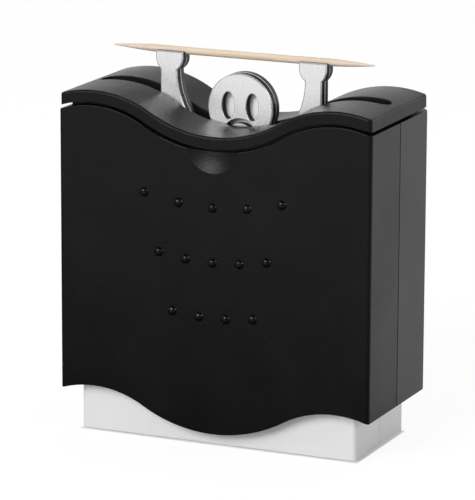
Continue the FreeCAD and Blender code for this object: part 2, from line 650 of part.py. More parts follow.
# ---------------------------------------------------------------- shells of the case and the base
def half_shell(label, kind, front, draw_profile, tongue_low, tongue_height):
    """Front or back half of a shell that is open above and below.

    The front half has a tongue along each side of the seam, and the back half a rebate for it."""
    side = -1 if front else 1
    body = new_body(label)
    profile = Outline(body, "XZ_Plane", label + "_profile")
    draw_profile(profile)
    pad(profile, label + "_block", kind + "_y", backward=not front)
    dress(body, "Fillet", label + "_corners", kind + "_corner",
          lambda edge: is_upright(edge) and not near(middle(edge).y, 0))
    dress(body, "Fillet", label + "_edges", "edge_round",
          lambda edge: not is_upright(edge) and not near(middle(edge).y, 0))
    dress(body, "Chamfer", label + "_seam", "seam_chamfer",
          lambda edge: is_upright(edge) and near(middle(edge).y, 0))
    if kind == "case" and front:
        add_dots(body)
    inside = Outline(body, "XY_Plane", label + "_inside")
    inside.rectangle("-" + kind + "_inner_x", kind + "_inner_x",
                     signed(side, kind + "_inner_y"), signed(-side, "slip"))
    pocket(inside, label + "_cavity", both_ways=True)
    for sign, word in SIDES:
        strip = Outline(body, "XY_Plane", label + "_strip_" + word, tongue_low)
        if front:
            strip.rectangle(signed(sign, kind + "_inner_x"), signed(sign, kind + "_tongue_x"),
                            "-tongue_reach", "tongue_reach")
            pad(strip, label + "_tongue_" + word, tongue_height)
        else:
            strip.rectangle(signed(sign, kind + "_inner_x"), signed(sign, kind + "_rebate_x"),
                            "-slip", "rebate_y")
            pocket(strip, label + "_rebate_" + word, tongue_height, backward=True)
    return body, side


def ball(body, kind, name, radius, x, z, out):
    """A ball added to or cut from a body, at x, z and at a distance in front of the middle plane."""
    feature = body.newObject("PartDesign::" + kind, name)
    feature.AttachmentSupport = (origin_plane(body, "XZ_Plane"), [""])
    feature.MapMode = "FlatFace"
    feature.setExpression("Radius", cell(radius))
    feature.setExpression(".AttachmentOffset.Base.x", x)
    feature.setExpression(".AttachmentOffset.Base.y", z)
    feature.setExpression(".AttachmentOffset.Base.z", cell(out))
    return feature


def add_dots(body):
    for row_number, (count, pitch, drop) in enumerate(DOT_ROWS):
        for index in range(count):
            x = "%g * %s" % (index - (count - 1) / 2, cell(pitch))
            z = "%s - %s + (%s)^2 / (2 * %s)" % (cell("rim_valley_z"), cell(drop), x, cell("dot_row_radius"))
            ball(body, "AdditiveSphere", "dot_%d_%d" % (row_number, index), "dot_ball_r", x, z, "dot_ball_out")


def case_profile(outline):
    outline.wave_block("rim", "case_x", lower="skirt", lower_family="skirt")


def base_profile(outline):
    outline.rectangle("-base_x", "base_x", "base_lift", "base_top")


def build_case():
    for label, front in (("case_front", True), ("case_back", False)):
        body, side = half_shell(label, "case", front, case_profile, "case_tongue_low", "case_tongue_height")
        if front:
            ball(body, "SubtractiveSphere", "thumb_notch", "notch_ball_r", "0", cell("notch_z"), "notch_ball_out")
        for sign, word in SIDES:
            shelf = Outline(body, "XY_Plane", label + "_shelf_" + word + "_sketch", "shelf_under")
            shelf.rectangle(signed(sign, "ear_x0"), signed(sign, "ear_x1"),
                            signed(side, "ear_y0"), signed(side, "case_wall_y"))
            pad(shelf, label + "_shelf_" + word, "shelf_thickness")
        holes = Outline(body, "XY_Plane", label + "_screw_holes_sketch", "shelf_under")
        for sign, word in SIDES:
            holes.circle(signed(sign, "case_screw_x"), signed(side, "case_screw_y"), "case_hole_r")
        pocket(holes, label + "_screw_holes", "shelf_thickness", backward=True)


def build_base_halves():
    for label, front in (("base_front", True), ("base_back", False)):
        body, side = half_shell(label, "base", front, base_profile, "base_tongue_low", "base_tongue_height")
        for sign, word in SIDES:
            block = Outline(body, "XY_Plane", label + "_block_" + word + "_sketch", "floor_top")
            block.rectangle(signed(sign, "block_x"), signed(sign, "base_wall_x"),
                            signed(side, "block_y"), signed(side, "base_wall_y"))
            pad(block, label + "_block_" + word, "block_height")
        threads = Outline(body, "XY_Plane", label + "_threads_sketch", "floor_top")
        for sign, word in SIDES:
            threads.circle(signed(sign, "floor_screw_x"), signed(side, "floor_screw_y"), "floor_thread_r")
        pocket(threads, label + "_threads", "floor_thread_depth", backward=True)


# ---------------------------------------------------------------- lid and hopper
def build_lid():
    body = new_body("lid")
    plate = Outline(body, "XZ_Plane", "lid_profile")
    plate.wave_block("lid", "lid_x", lower="under")
    pad(plate, "lid_plate", "lid_depth", both_ways=True)
    dress(body, "Fillet", "lid_corners", "case_corner", is_upright)
    top = size("lid_valley_z")
    dress(body, "Fillet", "lid_outline", "lid_round",
          lambda edge: not is_upright(edge) and on_wave_top(edge, top))
    for sign, word in ((-1, "front"), (1, "back")):
        start = "strip_inner_y" if sign < 0 else "-strip_y"
        strip = Outline(body, "XZ_Plane", "strip_" + word + "_sketch", start)
        strip.wave_block("root", "strip_x", lower="strip")
        pad(strip, "strip_" + word, "tongue_thickness")
    slot = Outline(body, "XY_Plane", "slot_sketch")
    reach, half = size("slot_centre_x"), size("slot_y")
    right = slot.arc((reach, 0), (reach, -half), (reach, half))
    left = slot.arc((-reach, 0), (-reach, half), (-reach, -half))
    back = slot.line((reach, half), (-reach, half))
    front = slot.line((-reach, -half), (reach, -half))
    slot.point(right, 3, x="slot_centre_x")
    slot.point(left, 3, x="-slot_centre_x")
    slot.rule("PointOnObject", right, 3, -1)
    slot.rule("PointOnObject", left, 3, -1)
    slot.limit("Radius", right, name="slot_y")
    slot.smooth(right, 2, back, 1)
    slot.smooth(left, 1, back, 2)
    slot.smooth(left, 2, front, 1)
    slot.smooth(right, 1, front, 2)
    slot.rule("Equal", right, left)
    pocket(slot, "slot", both_ways=True)
    dress(body, "Fillet", "slot_edge", "slot_round",
          lambda edge: not is_upright(edge) and on_wave_top(edge, top) and abs(middle(edge).y) < 2 * size("slot_y"))


def on_wave_top(edge, valley_z):
    """Whether an edge lies on the upper surface of the lid."""
    place = middle(edge)
    across = abs(place.x)
    crest_x, crest_z = size("wave_crest_x"), size("wave_crest_centre")
    crest_radius, valley_radius = size("lid_crest_radius"), size("lid_valley_radius")
    if across < crest_x * valley_radius / (valley_radius + crest_radius):
        surface = valley_z + valley_radius - math.sqrt(valley_radius ** 2 - across ** 2)
    else:
        surface = crest_z + math.sqrt(crest_radius ** 2 - (across - crest_x) ** 2)
    return abs(place.z - surface) < 1e-3


def build_hopper():
    body = new_body("hopper")
    block = Outline(body, "XZ_Plane", "hopper_profile")
    block.wave_block("neck", "hopper_x", bottom="hopper_under")
    pad(block, "hopper_block", "hopper_depth", both_ways=True)
    for sign, word in ((-1, "front"), (1, "back")):
        wedge = Outline(body, "YZ_Plane", "wedge_" + word + "_sketch")
        wedge.polygon([(signed(sign, "trough_y"), "hopper_under"), (signed(sign, "cut_y"), "cut_top"),
                       (signed(sign, "cut_y"), "cut_bottom"), (signed(sign, "trough_y"), "cut_bottom")])
        pocket(wedge, "wedge_" + word, both_ways=True)
    for sign, word in SIDES:
        socket = Outline(body, "XY_Plane", "socket_" + word + "_sketch", "cut_bottom")
        socket.circle(signed(sign, "post_x"), None, "socket_outer_r")
        pad(socket, "socket_" + word, "socket_block")
        for side, face in ((-1, "front"), (1, "back")):
            ear = Outline(body, "XY_Plane", "ear_%s_%s_sketch" % (word, face), "shelf_top")
            ear.rectangle(signed(sign, "ear_x0"), signed(sign, "ear_x1"),
                          signed(side, "ear_y0"), signed(side, "ear_y1"))
            pad(ear, "ear_%s_%s" % (word, face), "ear_height")
    space = Outline(body, "YZ_Plane", "space_sketch")
    space.polygon([("-trough_y", "trough_z"), ("trough_y", "trough_z"), ("space_y", "ramp_top"),
                   ("space_y", "space_top"), ("-space_y", "space_top"), ("-space_y", "ramp_top")])
    pocket(space, "space", "space_length", both_ways=True)
    slit = Outline(body, "XY_Plane", "slit_sketch")
    slit.rectangle("-slit_x", "slit_x", "-slit_y", "slit_y")
    pocket(slit, "slit", both_ways=True)
    bores = Outline(body, "XY_Plane", "bores_sketch", "cut_bottom")
    threads = Outline(body, "XY_Plane", "ear_threads_sketch", "shelf_top")
    for sign, word in SIDES:
        bores.circle(signed(sign, "post_x"), None, "socket_r")
        for side in (-1, 1):
            threads.circle(signed(sign, "case_screw_x"), signed(side, "case_screw_y"), "case_thread_r")
    pocket(bores, "bores", "socket_depth", backward=True)
    pocket(threads, "ear_threads", "case_thread_depth", backward=True)


# ---------------------------------------------------------------- figure
def figure_outline(outline):
    """Hands, arms, body and foot; the two arms' inner edges meet on the middle line."""
    top, side_z, wrist = size("figure_top"), size("hand_side_z"), size("wrist_z")
    hand_in, hand_out = size("hand_inner_x"), size("hand_outer_x")
    wrist_in, arm_out, foot = size("wrist_inner_x"), size("wrist_outer_x"), size("foot_x")
    fall = side_z - wrist
    outer_radius = ((hand_out - arm_out) ** 2 + fall ** 2) / (2 * (hand_out - arm_out))
    inner_radius = ((wrist_in - hand_in) ** 2 + fall ** 2) / (2 * (wrist_in - hand_in))
    low = (0, size("arm_low_z"))
    for sign, word in SIDES:
        def turned(centre, start, end):
            """An arc given for the right side, mirrored with its ends swapped for the left."""
            if sign > 0:
                return outline.arc(centre, start, end), 1, 2
            return outline.arc((-centre[0], centre[1]), (-end[0], end[1]), (-start[0], start[1])), 2, 1

        palm = outline.line((sign * hand_in, top), (sign * hand_out, top))
        outer = outline.line((sign * hand_out, top), (sign * hand_out, side_z))
        inner = outline.line((sign * hand_in, top), (sign * hand_in, side_z))
        outline.point(palm, 1, signed(sign, "hand_inner_x"), "figure_top")
        outline.point(palm, 2, signed(sign, "hand_outer_x"), "figure_top")
        outline.rule("Vertical", outer)
        outline.rule("Vertical", inner)
        outline.point(outer, 2, y="hand_side_z")
        outline.point(inner, 2, y="hand_side_z")
        heel, wrist_end, side_end = turned((hand_out - outer_radius, side_z), (arm_out, wrist), (hand_out, side_z))
        outline.smooth(outer, 2, heel, side_end)
        outline.point(heel, wrist_end, signed(sign, "wrist_outer_x"), "wrist_z")
        thumb, side_end, wrist_end = turned((hand_in + inner_radius, side_z), (hand_in, side_z), (wrist_in, wrist))
        outline.smooth(inner, 2, thumb, side_end)
        outline.point(thumb, wrist_end, signed(sign, "wrist_inner_x"), "wrist_z")
        arm, low_end, wrist_end = turned((size("arm_centre_x"), wrist), low, (wrist_in, wrist))
        outline.point(arm, 3, signed(sign, "arm_centre_x"), "wrist_z")
        flank = outline.line((sign * arm_out, wrist), (sign * arm_out, size("body_low_z")))
        step = outline.line((sign * arm_out, size("body_low_z")), (sign * foot, size("foot_top_z")))
        shin = outline.line((sign * foot, size("foot_top_z")), (sign * foot, size("foot_z")))
        outline.point(flank, 2, signed(sign, "wrist_outer_x"), "body_low_z")
        outline.point(step, 2, signed(sign, "foot_x"), "foot_top_z")
        outline.point(shin, 2, signed(sign, "foot_x"), "foot_z")
    outline.line((-foot, size("foot_z")), (foot, size("foot_z")))


def build_figure():
    for label, front in (("figure_front", True), ("figure_back", False)):
        body = new_body(label)
        shape = Outline(body, "XZ_Plane", label + "_outline")
        figure_outline(shape)
        pad(shape, label + "_plate", "plate_thickness", backward=not front)
        neck = Outline(body, "XZ_Plane", label + "_neck_sketch")
        neck.rectangle("-neck_x", "neck_x", "neck_low_z", "head_z")
        pad(neck, label + "_neck", "plate_thickness", backward=not front)
        head = Outline(body, "XZ_Plane", label + "_head_sketch")
        head.circle(None, "head_z", "head_radius")
        pad(head, label + "_head", "plate_thickness", backward=not front)
        outer_face = size(signed(-1 if front else 1, "plate_thickness"))
        dress(body, "Chamfer", label + "_edge", "plate_edge", lambda edge: lies_at(edge, outer_face))
        dress(body, "Chamfer", label + "_seam", "plate_seam", lambda edge: lies_at(edge, 0))
        groove = Outline(body, "YZ_Plane", label + "_groove_sketch")
        groove.polygon([("-groove_y", "figure_top"), (None, "groove_z"), ("groove_y", "figure_top")])
        pocket(groove, label + "_groove", both_ways=True)
        pins = Outline(body, "XZ_Plane", label + "_pin_holes_sketch")
        pins.circle("-pin_x", "pin_z", "pin_hole_r")
        pins.circle("pin_x", "pin_z", "pin_hole_r")
        pocket(pins, label + "_pin_holes", both_ways=True)
        if front:
            cut_face(body)
            dress(body, "Chamfer", "face_edges", "face_edge",
                  lambda edge: lies_at(edge, outer_face) and in_face(edge))


def lies_at(edge, y):
    """Whether the whole edge lies in the upright plane at this y."""
    return edge.BoundBox.YLength < 1e-4 and near(middle(edge).y, y)


def in_face(edge):
    """Whether an edge belongs to the eyes or the mouth."""
    place = middle(edge)
    return math.hypot(place.x, place.z - size("head_z")) < size("head_radius") - 2 * size("plate_edge")


def cut_face(body):
    """Two upright oval eyes and an arched mouth, cut through the front plate."""
    for sign, word in SIDES:
        eye = Outline(body, "XZ_Plane", "eye_" + word + "_sketch")
        x, z = sign * size("eye_x"), size("eye_z")
        half_width, half_height = size("eye_width") / 2, size("eye_height") / 2
        oval = Part.Ellipse(FreeCAD.Vector(x, z + half_height, 0), FreeCAD.Vector(x - half_width, z, 0),
                            FreeCAD.Vector(x, z, 0))
        number = eye.sketch.addGeometry(oval, False)
        eye.sketch.exposeInternalGeometry(number)
        long_axis, short_axis = number + 1, number + 2
        eye.rule("Vertical", long_axis)
        eye.limit("Distance", long_axis, name="eye_height")
        eye.limit("Distance", short_axis, name="eye_width")
        eye.point(number, 3, signed(sign, "eye_x"), "eye_z")
        pocket(eye, "eye_" + word, both_ways=True)
    mouth = Outline(body, "XZ_Plane", "mouth_sketch")
    z, angle = size("mouth_z"), math.radians(size("mouth_half_angle"))
    ends = {}
    for name in ("mouth_radius", "mouth_outer_radius"):
        radius = size(name)
        right = (radius * math.sin(angle), z + radius * math.cos(angle))
        left = (-right[0], right[1])
        ends[name] = (right, left)
        edge = mouth.arc((0, z), right, left)
        mouth.limit("Radius", edge, name=name)
        mouth.rule("PointOnObject", edge, 3, -2)
        mouth.point(edge, 3, y="mouth_z")
        corner = "mouth_inner_x" if name == "mouth_radius" else "mouth_outer_x"
        mouth.point(edge, 1, x=corner)
        mouth.point(edge, 2, x="-" + corner)
    for side in (0, 1):
        mouth.line(ends["mouth_radius"][side], ends["mouth_outer_radius"][side])
    pocket(mouth, "mouth", both_ways=True)


# ---------------------------------------------------------------- base, weight, mount and guides
def build_floor():
    body = new_body("base_floor")
    plate = Outline(body, "XY_Plane", "floor_sketch", "floor_under")
    plate.rectangle("-floor_x", "floor_x", "-floor_y", "floor_y")
    pad(plate, "floor_plate", "floor_thickness")
    for sign, word in SIDES:
        boss = Outline(body, "XY_Plane", "boss_" + word + "_sketch", "floor_top")
        boss.circle(signed(sign, "post_x"), None, "boss_r")
        pad(boss, "boss_" + word, "boss_height")
    wells = Outline(body, "XY_Plane", "wells_sketch", "boss_top")
    mount_holes = Outline(body, "XY_Plane", "mount_holes_sketch", "floor_under")
    mount_bores = Outline(body, "XY_Plane", "mount_bores_sketch", "floor_under")
    floor_holes = Outline(body, "XY_Plane", "floor_holes_sketch", "floor_under")
    floor_bores = Outline(body, "XY_Plane", "floor_bores_sketch", "floor_under")
    pad_wells = Outline(body, "XY_Plane", "pad_wells_sketch", "floor_under")
    for sign, word in SIDES:
        wells.circle(signed(sign, "post_x"), None, "post_hole_r")
        mount_holes.circle(signed(sign, "mount_screw_x"), None, "mount_hole_r")
        mount_bores.circle(signed(sign, "mount_screw_x"), None, "mount_bore_r")
        for side in (-1, 1):
            floor_holes.circle(signed(sign, "floor_screw_x"), signed(side, "floor_screw_y"), "floor_hole_r")
            floor_bores.circle(signed(sign, "floor_screw_x"), signed(side, "floor_screw_y"), "floor_bore_r")
            pad_wells.circle(signed(sign, "pad_x"), signed(side, "pad_y"), "pad_hole_r")
    pocket(wells, "wells", "boss_height")
    pocket(mount_holes, "mount_holes", "floor_thickness", backward=True)
    pocket(mount_bores, "mount_bores", "mount_bore_depth", backward=True)
    pocket(floor_holes, "floor_holes", "floor_thickness", backward=True)
    pocket(floor_bores, "floor_bores", "floor_bore_depth", backward=True)
    pocket(pad_wells, "pad_wells", "pad_recess", backward=True)


def build_feet():
    body = new_body("feet")
    pads = Outline(body, "XY_Plane", "feet_sketch")
    for sign in (-1, 1):
        for side in (-1, 1):
            pads.circle(signed(sign, "pad_x"), signed(side, "pad_y"), "pad_r")
    pad(pads, "foot_pads", "pad_thickness")


def build_ballast():
    body = new_body("ballast_plate")
    plate = Outline(body, "XY_Plane", "ballast_sketch", "floor_top")
    plate.rectangle("-ballast_x", "ballast_x", "-ballast_y", "ballast_y")
    pad(plate, "ballast", "ballast_thickness")
    holes = Outline(body, "XY_Plane", "ballast_holes_sketch", "floor_top")
    holes.circle("-mount_screw_x", None, "mount_hole_r")
    holes.circle("mount_screw_x", None, "mount_hole_r")
    pocket(holes, "ballast_holes", "ballast_thickness", backward=True)


def build_mount():
    body = new_body("figure_mount")
    block = Outline(body, "XY_Plane", "mount_sketch", "ballast_top")
    block.rectangle("-mount_x", "mount_x", "-mount_y", "mount_y")
    pad(block, "mount_block", "mount_height")
    slot = Outline(body, "XY_Plane", "foot_slot_sketch", "mount_top")
    slot.rectangle("-mount_slot_x", "mount_slot_x", "-mount_slot_y", "mount_slot_y")
    pocket(slot, "foot_slot", "mount_slot_depth")
    pins = Outline(body, "XZ_Plane", "mount_pin_holes_sketch")
    pins.circle("-pin_x", "pin_z", "pin_hole_r")
    pins.circle("pin_x", "pin_z", "pin_hole_r")
    pocket(pins, "mount_pin_holes", both_ways=True)
    threads = Outline(body, "XY_Plane", "mount_threads_sketch", "ballast_top")
    threads.circle("-mount_screw_x", None, "mount_thread_r")
    threads.circle("mount_screw_x", None, "mount_thread_r")
    pocket(threads, "mount_threads", "mount_thread_depth", backward=True)


def build_pins():
    body = new_body("figure_pins")
    pins = Outline(body, "XZ_Plane", "figure_pins_sketch")
    pins.circle("-pin_x", "pin_z", "pin_r")
    pins.circle("pin_x", "pin_z", "pin_r")
    pad(pins, "cross_pins", "pin_length", both_ways=True)


def build_rings(label, signs, start, height, outer, bore):
    """Upright rings on the axes of the guide posts."""
    body = new_body(label)
    ring = Outline(body, "XY_Plane", label + "_sketch", start)
    for sign in signs:
        ring.circle(signed(sign, "post_x"), None, outer)
        ring.circle(signed(sign, "post_x"), None, bore)
    pad(ring, label + "_ring", height)


def build_guides():
    for sign, word in SIDES:
        post = new_body("guide_post_" + word)
        rod = Outline(post, "XY_Plane", "post_" + word + "_sketch", "floor_top")
        rod.circle(signed(sign, "post_x"), None, "post_r")
        pad(rod, "post_" + word, "post_length")
        thread = Outline(post, "XY_Plane", "post_thread_" + word + "_sketch", "post_top")
        thread.circle(signed(sign, "post_x"), None, "stop_thread_r")
        pocket(thread, "post_thread_" + word, "stop_thread_depth")
        build_rings("guide_tube_" + word, (sign,), "tube_bottom", "tube_length", "tube_r", "tube_bore_r")
        build_rings("guide_bush_" + word, (sign,), "tube_bottom", "bush_length", "bush_r", "bush_bore_r")
    build_rings("buffers", (-1, 1), "boss_top", "buffer_thickness", "boss_r", "buffer_bore_r")
    build_rings("stop_washers", (-1, 1), "post_top", "washer_thickness", "washer_r", "stop_hole_r")


def build_screws(label, family, place_x, place_y, seat, head_end, head_up):
    """Two or four like screws with a slotted head; the shank leaves the seat away from the head."""
    body = new_body(label)
    heads = Outline(body, "XY_Plane", label + "_heads_sketch", seat)
    shanks = Outline(body, "XY_Plane", label + "_shanks_sketch", seat)
    slots = Outline(body, "XY_Plane", label + "_slots_sketch", head_end)
    for sign in (-1, 1):
        for side in ((-1, 1) if place_y else (1,)):
            y = signed(side, place_y) if place_y else None
            heads.circle(signed(sign, place_x), y, family + "_head_r")
            shanks.circle(signed(sign, place_x), y, family + "_shank_r")
            slots.rectangle(signed(sign, family + "_slot_x0"), signed(sign, family + "_slot_x1"),
                            signed(side, family + "_slot_y0"), signed(side, family + "_slot_y1"))
    pad(heads, label + "_heads", family + "_head_height", backward=not head_up)
    pad(shanks, label + "_shanks", family + "_shank_length", backward=head_up)
    pocket(slots, label + "_slots", "recess_depth", backward=not head_up)


# ---------------------------------------------------------------- toothpicks
def toothpick(name, x, y, z):
    """A shaft with two points along X; x, y and z are expressions for its middle."""
    along = FreeCAD.Rotation(FreeCAD.Vector(0, 1, 0), 90)
    back = FreeCAD.Rotation(FreeCAD.Vector(0, 1, 0), -90)
    half = cell("pick_shaft") + " / 2"
    shaft = doc.addObject("Part::Cylinder", name + "_shaft")
    shaft.setExpression("Radius", cell("pick_r"))
    shaft.setExpression("Height", cell("pick_shaft"))
    pieces = [(shaft, along, "%s - %s" % (x, half))]
    for word, turn, start in (("right", along, "%s + %s" % (x, half)), ("left", back, "%s - %s" % (x, half))):
        point = doc.addObject("Part::Cone", name + "_point_" + word)
        point.setExpression("Radius1", cell("pick_r"))
        point.setExpression("Radius2", cell("pick_tip_r"))
        point.setExpression("Height", cell("pick_taper"))
        pieces.append((point, turn, start))
    for piece, turn, start in pieces:
        piece.Placement = FreeCAD.Placement(FreeCAD.Vector(0, 0, 0), turn)
        piece.setExpression(".Placement.Base.x", start)
        piece.setExpression(".Placement.Base.y", y)
        piece.setExpression(".Placement.Base.z", z)
    whole = doc.addObject("Part::MultiFuse", name)
    whole.Shapes = [piece for piece, turn, start in pieces]
    whole.Refine = True
    return whole


def build_toothpicks():
    """One toothpick on the hands, and a heap on each of the hopper's two ramps."""
    lifted = toothpick("lifted_pick", cell("lift_shift"), "0", cell("pick_z"))
    lifted.Label = "toothpick"
    labels = [lifted]
    for side, word in ((-1, "front"), (1, "back")):
        heap = []
        for heap_row in range(HEAP_ROWS):
            offset = (heap_row % 2) / 2
            for column in range(int(heap_row * math.sin(math.radians(60)) - offset) + 1):
                x = "%d * %s" % ((heap_row + column + side) % 3 - 1, cell("heap_shift"))
                y = "%d * (%s + %g * %s)" % (side, cell("heap_y"), column + offset, cell("heap_pitch"))
                z = "%s + %d * %s" % (cell("heap_z"), heap_row, cell("heap_rise"))
                heap.append(toothpick("pick_%s_%d_%d" % (word, heap_row, column), x, y, z))
        group = doc.addObject("Part::Compound", "heap_" + word)
        group.Links = heap
        group.Label = "toothpicks_" + word
        labels.append(group)
    return labels


# ---------------------------------------------------------------- assembly, checks and export
build_floor()
build_feet()
build_ballast()
build_mount()
build_pins()
build_base_halves()
build_figure()
build_guides()
build_case()
build_hopper()
build_lid()
build_screws("floor_screws", "floor", "floor_screw_x", "floor_screw_y", "floor_seat", "floor_head_z", False)
build_screws("mount_screws", "mount", "mount_screw_x", None, "mount_seat", "mount_head_z", False)
build_screws("stop_screws", "stop", "post_x", None, "washer_top", "stop_top", True)
build_screws("case_screws", "case", "case_screw_x", "case_screw_y", "shelf_under", "case_head_z", False)
loose = build_toothpicks()
doc.recompute()

pieces = [thing for thing in doc.Objects if thing.TypeId == "PartDesign::Body"] + loose
for thing in doc.Objects:
    if "Invalid" in thing.State or "Error" in thing.State:
        raise RuntimeError("%s is %s" % (thing.Name, thing.State))
for piece in pieces:
    if piece.Shape.isNull() or not piece.Shape.isValid():
        raise RuntimeError("%s has no valid shape" % piece.Label)
for piece in pieces:
    piece.Shape.exportStep("parts/%s.step" % piece.Label)
    print("%-18s %2d solid(s) %10.2f mm3" % (piece.Label, len(piece.Shape.Solids), piece.Shape.Volume))
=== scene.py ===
# %% [markdown]
# A toothpick dispenser is dressed here: a black case with a wavy lid slides on a silver base, and a flat
# silver figure holds a toothpick above the slot. The engineers' model gives every piece its exact shape
# and place. It could be rebuilt by hand in Blender, but a shape that is already right only needs a good
# finish, so the work goes into surfaces, into the wood, which no engineer draws grain by grain, and into
# light. The frame is loaded first.

# %% Load the frame
import math
import random

import bpy
from mathutils import Matrix, Vector, noise


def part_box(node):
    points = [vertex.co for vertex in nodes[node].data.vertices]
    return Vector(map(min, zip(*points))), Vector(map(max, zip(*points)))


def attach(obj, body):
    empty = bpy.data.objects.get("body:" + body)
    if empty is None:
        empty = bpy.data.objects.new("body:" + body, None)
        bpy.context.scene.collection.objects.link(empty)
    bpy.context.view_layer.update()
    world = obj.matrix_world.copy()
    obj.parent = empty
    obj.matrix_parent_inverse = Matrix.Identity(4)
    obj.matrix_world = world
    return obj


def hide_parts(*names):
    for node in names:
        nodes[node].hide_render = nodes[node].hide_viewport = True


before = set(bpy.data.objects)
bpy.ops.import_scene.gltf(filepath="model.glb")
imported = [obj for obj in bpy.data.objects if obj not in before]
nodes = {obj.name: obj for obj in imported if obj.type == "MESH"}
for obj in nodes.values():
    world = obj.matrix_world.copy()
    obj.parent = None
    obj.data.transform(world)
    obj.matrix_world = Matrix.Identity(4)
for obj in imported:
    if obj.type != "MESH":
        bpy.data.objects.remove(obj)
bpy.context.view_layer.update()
print("pieces in the frame:", len(nodes))

# %% [markdown]
# Sizes are easier to read in millimetres, while Blender works in metres here. One factor turns one into
# the other, and the object's own lengths below are written as so many of them.

# %% Millimetres
MM = 0.001
print("1 mm is", MM, "of Blender's units")

# %% [markdown]
# The camera stands a little above the case and to its right, far away and with a long lens, the way a
# product is usually shot: the far side then looks almost as large as the near one. A camera can be aimed
# with a constraint, but three unit vectors say the same without hidden settings: where right, up and
# backwards are for it. They become the columns of its matrix.

# %% Place the camera
AZIMUTH = math.radians(24.03)
ELEVATION = math.radians(13.26)
ROLL = math.radians(0.23)
AIM = Vector((-1.44, 0.0, 43.35)) * MM
DISTANCE = 866.8 * MM
LENS = 267.4
FILM_WIDTH = 36.0
FARTHEST_SEEN = 20.0


def camera_axes(azimuth, elevation, roll):
    """Right, up and backwards for a camera that looks at the object from that direction."""
    back = Vector((
        math.sin(azimuth) * math.cos(elevation),
        -math.cos(azimuth) * math.cos(elevation),
        math.sin(elevation),
    ))
    level = Vector((math.cos(azimuth), math.sin(azimuth), 0.0))
    upright = back.cross(level)
    right = level * math.cos(roll) + upright * math.sin(roll)
    up = upright * math.cos(roll) - level * math.sin(roll)
    return right, up, back


right, up, back = camera_axes(AZIMUTH, ELEVATION, ROLL)
camera_data = bpy.data.cameras.new("camera")
camera_data.lens = LENS
camera_data.sensor_width = FILM_WIDTH
camera_data.clip_end = FARTHEST_SEEN
camera = bpy.data.objects.new("camera", camera_data)
turned = Matrix((right, up, back)).transposed().to_4x4()
camera.matrix_world = Matrix.Translation(AIM + back * DISTANCE) @ turned
bpy.context.scene.collection.objects.link(camera)
bpy.context.scene.camera = camera
print("camera at", [round(c, 3) for c in camera.location])

# %% [markdown]
# Finishes and the room's light are networks of nodes. Writing each link by hand is long, so a small helper
# adds a node with its settings and wires what is passed as another node's output. Three kinds of node come
# up again and again and get a name of their own: one stretches a range of numbers to another, one does a
# sum, and one chooses between two numbers.

# %% A helper for networks
class Network:
    """A tree of shader nodes, with short ways to add to it."""

    def __init__(self, tree):
        self.tree = tree

    def set(self, node, values):
        """Sets a node's sockets, by name or number. Another node's output is wired to its socket."""
        for socket, value in values.items():
            if isinstance(value, bpy.types.NodeSocket):
                self.tree.links.new(value, node.inputs[socket])
            else:
                node.inputs[socket].default_value = value

    def add(self, kind, inputs=(), **settings):
        """A new node of that kind."""
        node = self.tree.nodes.new("ShaderNode" + kind)
        for setting, value in settings.items():
            setattr(node, setting, value)
        self.set(node, dict(inputs))
        return node

    def ramp(self, value, start, end, low=0.0, high=1.0):
        """A number that runs from low to high while the value runs from start to end."""
        return self.add("MapRange", {
            "Value": value, "From Min": start, "From Max": end, "To Min": low, "To Max": high,
        }).outputs["Result"]

    def reckon(self, operation, first, second=0.0):
        """The result of one sum."""
        return self.add("Math", {0: first, 1: second}, operation=operation).outputs[0]

    def choose(self, amount, first, second):
        """The first number where the amount is 0 and the second where it is 1."""
        return self.add("Mix", {0: amount, 2: first, 3: second}).outputs[0]


print("network helper ready")

# %% [markdown]
# A finish is such a network round one Principled shader. The numbers that are the same all over a surface
# go straight onto the shader, and the rest comes from noise. Its values crowd round the middle, so only
# that part is stretched to the range that a finish asks for.

# %% A helper for finishes
NOISE_LOW = 0.3
NOISE_HIGH = 0.7


class Finish(Network):
    """A material that is built node by node round its Principled shader."""

    def __init__(self, name, **values):
        self.material = bpy.data.materials.new(name)
        self.material.use_nodes = True
        super().__init__(self.material.node_tree)
        self.shader = self.tree.nodes["Principled BSDF"]
        self.set(self.shader, values)

    def place(self, stretch=(1.0, 1.0, 1.0)):
        """Positions on the object, in metres, stretched along its axes."""
        where = self.add("TexCoord").outputs["Object"]
        return self.add("Mapping", {"Vector": where, "Scale": stretch}).outputs["Vector"]

    def speckle(self, per_metre, detail=2.0, stretch=(1.0, 1.0, 1.0)):
        """Soft random noise with about that many blots on a metre."""
        return self.add("TexNoise", {
            "Vector": self.place(stretch), "Scale": per_metre, "Detail": detail,
        }).outputs["Fac"]

    def between(self, amount, low, high):
        """A number that runs from low to high with the noise."""
        return self.ramp(amount, NOISE_LOW, NOISE_HIGH, low, high)

    def blend(self, amount, dark, light):
        """A colour that runs from dark to light with the noise."""
        share = self.between(amount, 0.0, 1.0)
        return self.add("Mix", {0: share, 6: (*dark, 1.0), 7: (*light, 1.0)}, data_type="RGBA").outputs[2]

    def relief(self, height, depth):
        """A bump of that depth in metres, on the shader's normal."""
        bump = self.add("Bump", {"Height": height, "Distance": depth, "Strength": 1.0})
        self.set(self.shader, {"Normal": bump.outputs["Normal"]})


print("finish helper ready")

# %% [markdown]
# The case is moulded in black plastic. The mould's surface was sparked, which leaves a fine, even grain
# that breaks up reflections: seen straight on it is nearly black, and along its side it turns grey. A
# plain dark colour would look like a hole, so the grain is a shallow bump, and slow, broad noise varies
# the gloss as handling does. The raised dots on the front were polished in the mould, and they are found
# by their distance in front of the face. The back half comes from a mould of its own, a little smoother.

